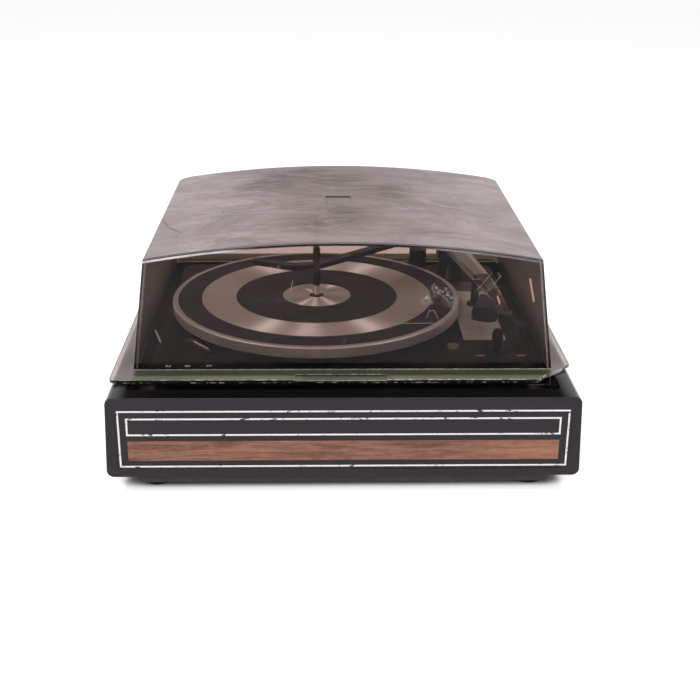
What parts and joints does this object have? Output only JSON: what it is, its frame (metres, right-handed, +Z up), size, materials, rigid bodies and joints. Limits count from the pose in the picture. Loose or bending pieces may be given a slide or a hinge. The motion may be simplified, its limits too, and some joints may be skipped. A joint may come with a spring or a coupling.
{
  "type": "record changer",
  "caption": "Idler-drive stacking record changer in a flat plinth with a walnut front strip, under a smoked lift-off cover with an arched top.",
  "frame": {"origin": "middle of the footprint, on the table under the feet", "axes": "+X to the right, +Y to the back, +Z up, front towards -Y"},
  "size_m": [0.398, 0.388, 0.1992],
  "materials": {
    "black_abs": "satin moulded",
    "stripe_foil": "satin foil",
    "walnut": "satin veneer",
    "pan_board": "matt",
    "screw_steel": "zinc plated",
    "foot_rubber": "matt",
    "smoked_cover": "smoked, scratched",
    "deck_paint": "satin black",
    "spring_steel": "bright",
    "brass_screw": "plated",
    "trim_silver": "brushed",
    "bright_steel": "ground",
    "chrome": "polished",
    "platter_steel": "satin",
    "mat_rubber": "matt",
    "nylon": "moulded",
    "lamination": "stamped",
    "coil_tape": "varnished copper",
    "bronze": "sintered",
    "arm_aluminium": "satin",
    "black_gloss": "gloss",
    "ivory_plastic": "moulded"
  },
  "bodies": {
    "base": {"plinth": "black_abs", "outer_pinstripe": "stripe_foil", "inner_pinstripe": "stripe_foil", "walnut_strip": "walnut", "bottom_pan": "pan_board", "pan_screws": "screw_steel", "foot_front_left": "foot_rubber", "foot_front_right": "foot_rubber", "foot_back_left": "foot_rubber", "foot_back_right": "foot_rubber", "foot_screws": "screw_steel", "mains_grommet": "foot_rubber", "signal_grommet": "foot_rubber", "deck_plate": "deck_paint", "deck_springs": "spring_steel", "transit_screws": "brass_screw", "deck_trim": "trim_silver", "centre_post": "bright_steel", "thrust_race": "bright_steel", "circlip": "bright_steel", "spindle": "chrome", "motor_laminations": "lamination", "motor_coil": "coil_tape", "motor_upper_bracket": "bright_steel", "motor_lower_bracket": "bright_steel", "motor_bushes": "bronze", "motor_bolts": "screw_steel", "motor_mounts": "foot_rubber", "idler_stud": "bright_steel", "gear_stud": "bright_steel", "power_switch": "ivory_plastic", "arm_pedestal": "black_gloss", "arm_rest": "black_gloss", "overarm_bush": "black_gloss"},
    "cover": {"lid": "smoked_cover"},
    "platter": {"platter": "platter_steel", "outer_mat": "mat_rubber", "silver_ring": "trim_silver", "inner_mat": "mat_rubber", "centre_disc": "trim_silver", "hub_pinion": "nylon"},
    "motor_rotor": {"rotor": "bright_steel", "motor_pulley": "bronze"},
    "idler_arm": {"idler_arm": "bright_steel"},
    "idler_wheel": {"idler_hub": "nylon", "idler_tyre": "foot_rubber"},
    "change_gear": {"change_gear": "nylon"},
    "arm_yoke": {"arm_yoke": "arm_aluminium", "arm_pivot_pin": "bright_steel"},
    "tonearm": {"arm_bar": "arm_aluminium", "headshell": "black_gloss", "cartridge": "ivory_plastic", "stylus": "bronze", "finger_lift": "chrome", "counterweight": "lamination"},
    "overarm_shaft": {"overarm_shaft": "bright_steel"},
    "overarm": {"overarm": "black_gloss"},
    "speed_lever": {"speed_lever": "bright_steel"},
    "control_knob": {"control_lever": "bright_steel", "control_knob": "black_gloss"}
  },
  "joints": [
    {"name": "cover_lift", "type": "slide", "parent": "base", "child": "cover", "axis": [0, 0, 1], "range_m": [0, 0.15]},
    {"name": "platter_spin", "type": "hinge", "parent": "base", "child": "platter", "pos_m": [-0.0232, 0.015, 0.10375], "axis": [0, 0, 1], "continuous": true},
    {"name": "rotor_spin", "type": "hinge", "parent": "base", "child": "motor_rotor", "pos_m": [-0.10634, 0.063, 0.062], "axis": [0, 0, 1], "continuous": true},
    {"name": "idler_arm_swing", "type": "hinge", "parent": "base", "child": "idler_arm", "pos_m": [-0.0719, 0.0507, 0.0891], "axis": [0, 0, 1], "range_deg": [0, 4]},
    {"name": "idler_spin", "type": "hinge", "parent": "idler_arm", "child": "idler_wheel", "pos_m": [-0.1299, 0.0547, 0.0965], "axis": [0, 0, 1], "continuous": true},
    {"name": "change_gear_spin", "type": "hinge", "parent": "base", "child": "change_gear", "pos_m": [0.02308, -0.04016, 0.0935], "axis": [0, 0, 1], "continuous": true},
    {"name": "tonearm_swing", "type": "hinge", "parent": "base", "child": "arm_yoke", "pos_m": [0.12, 0.126, 0.1085], "axis": [0, 0, -1], "range_deg": [0, 38]},
    {"name": "tonearm_lift", "type": "hinge", "parent": "arm_yoke", "child": "tonearm", "pos_m": [0.12, 0.126, 0.1225], "axis": [-0.9888, -0.1495, 0], "range_deg": [-0.4, 8]},
    {"name": "overarm_raise", "type": "slide", "parent": "base", "child": "overarm_shaft", "axis": [0, 0, 1], "range_m": [0, 0.025]},
    {"name": "overarm_swing", "type": "hinge", "parent": "overarm_shaft", "child": "overarm", "pos_m": [0.085, 0.126, 0.1305], "axis": [0, 0, -1], "range_deg": [0, 34]},
    {"name": "speed_select", "type": "hinge", "parent": "base", "child": "speed_lever", "pos_m": [-0.138, -0.0735, 0.0875], "axis": [0, 0, -1], "range_deg": [0, 53]},
    {"name": "control_slide", "type": "slide", "parent": "base", "child": "control_knob", "axis": [1, 0, 0], "range_m": [-0.006, 0.006]}
  ],
  "couplings": [
    {"joint": "rotor_spin", "follows": "platter_spin", "ratio": -48},
    {"joint": "idler_spin", "follows": "platter_spin", "ratio": 6.1818},
    {"joint": "change_gear_spin", "follows": "platter_spin", "ratio": -0.2}
  ]
}
